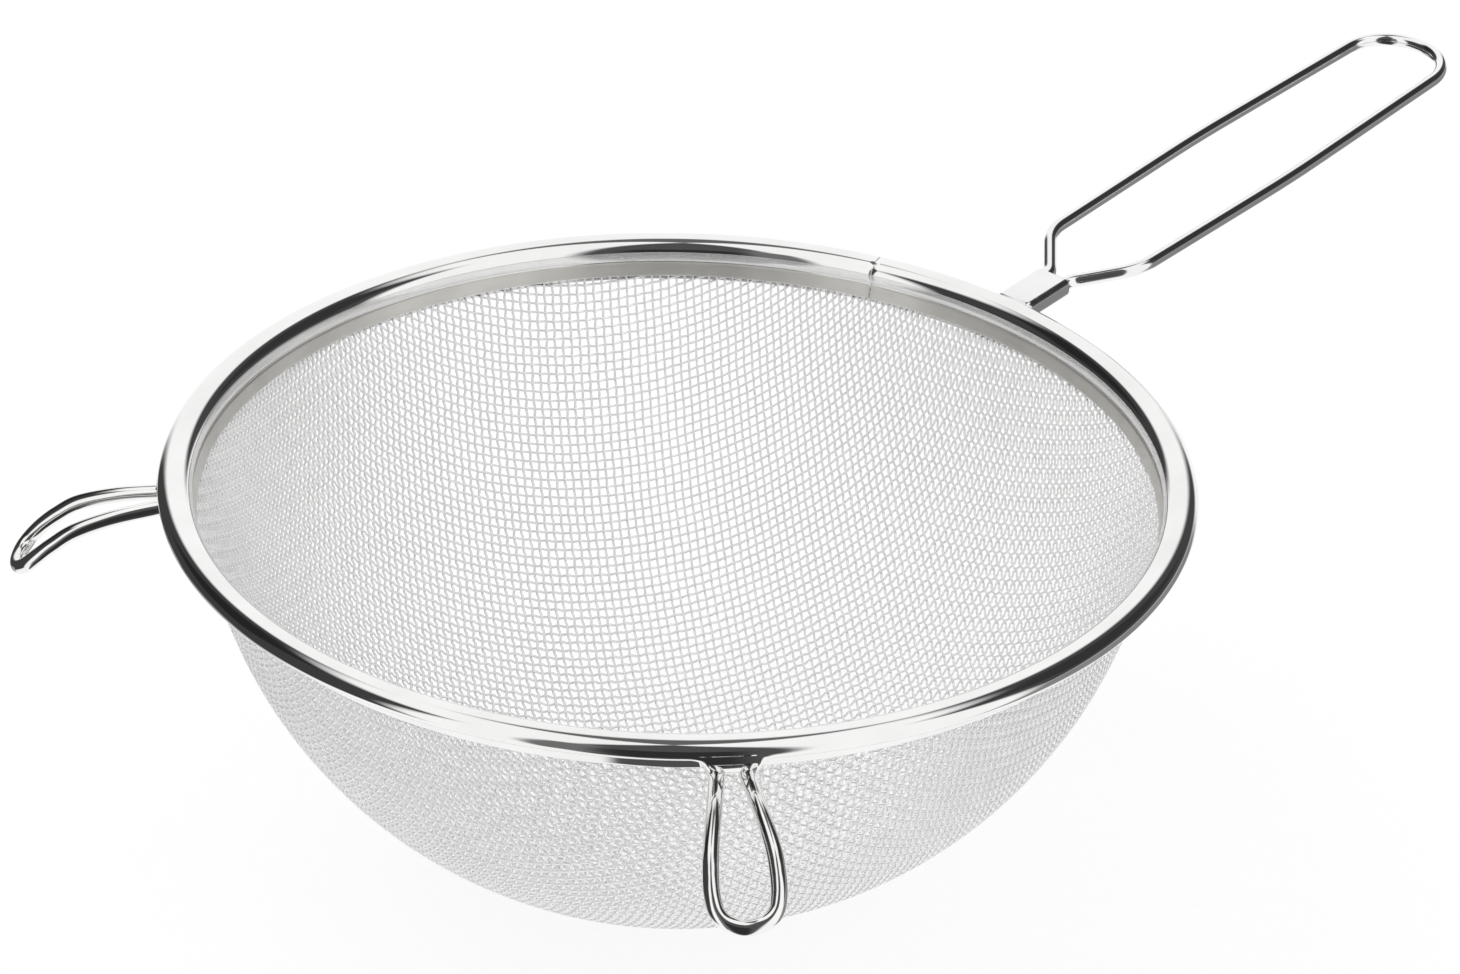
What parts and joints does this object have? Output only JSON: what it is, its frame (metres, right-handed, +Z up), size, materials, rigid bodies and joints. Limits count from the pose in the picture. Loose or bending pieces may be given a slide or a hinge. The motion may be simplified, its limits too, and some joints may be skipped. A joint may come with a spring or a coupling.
{
  "type": "bowl strainer",
  "caption": "Hand-held strainer: a round-bottomed wire cloth bowl in a folded rim, with a looped wire handle and small wire rest loops.",
  "frame": {"origin": "middle of the small flat at the bowl's lowest point, where the strainer stands", "axes": "+Z up out of the bowl's mouth, +X from the bowl's axis along the handle, +Y to the side of the left rest loop"},
  "size_m": [0.3699, 0.22, 0.1053],
  "materials": {
    "wire_cloth": "woven bright stainless wire",
    "rim_sheet": "polished stainless sheet",
    "sleeve_sheet": "polished stainless sheet",
    "handle_wire": "polished stainless wire",
    "loop_wire": "polished stainless wire"
  },
  "bodies": {
    "root": {"mesh_bowl": "wire_cloth", "rim_band": "rim_sheet", "rim_ring": "rim_sheet", "handle_sleeve": "sleeve_sheet", "handle_loop": "handle_wire", "rest_loop_left": "loop_wire", "rest_loop_right": "loop_wire"}
  },
  "joints": []
}
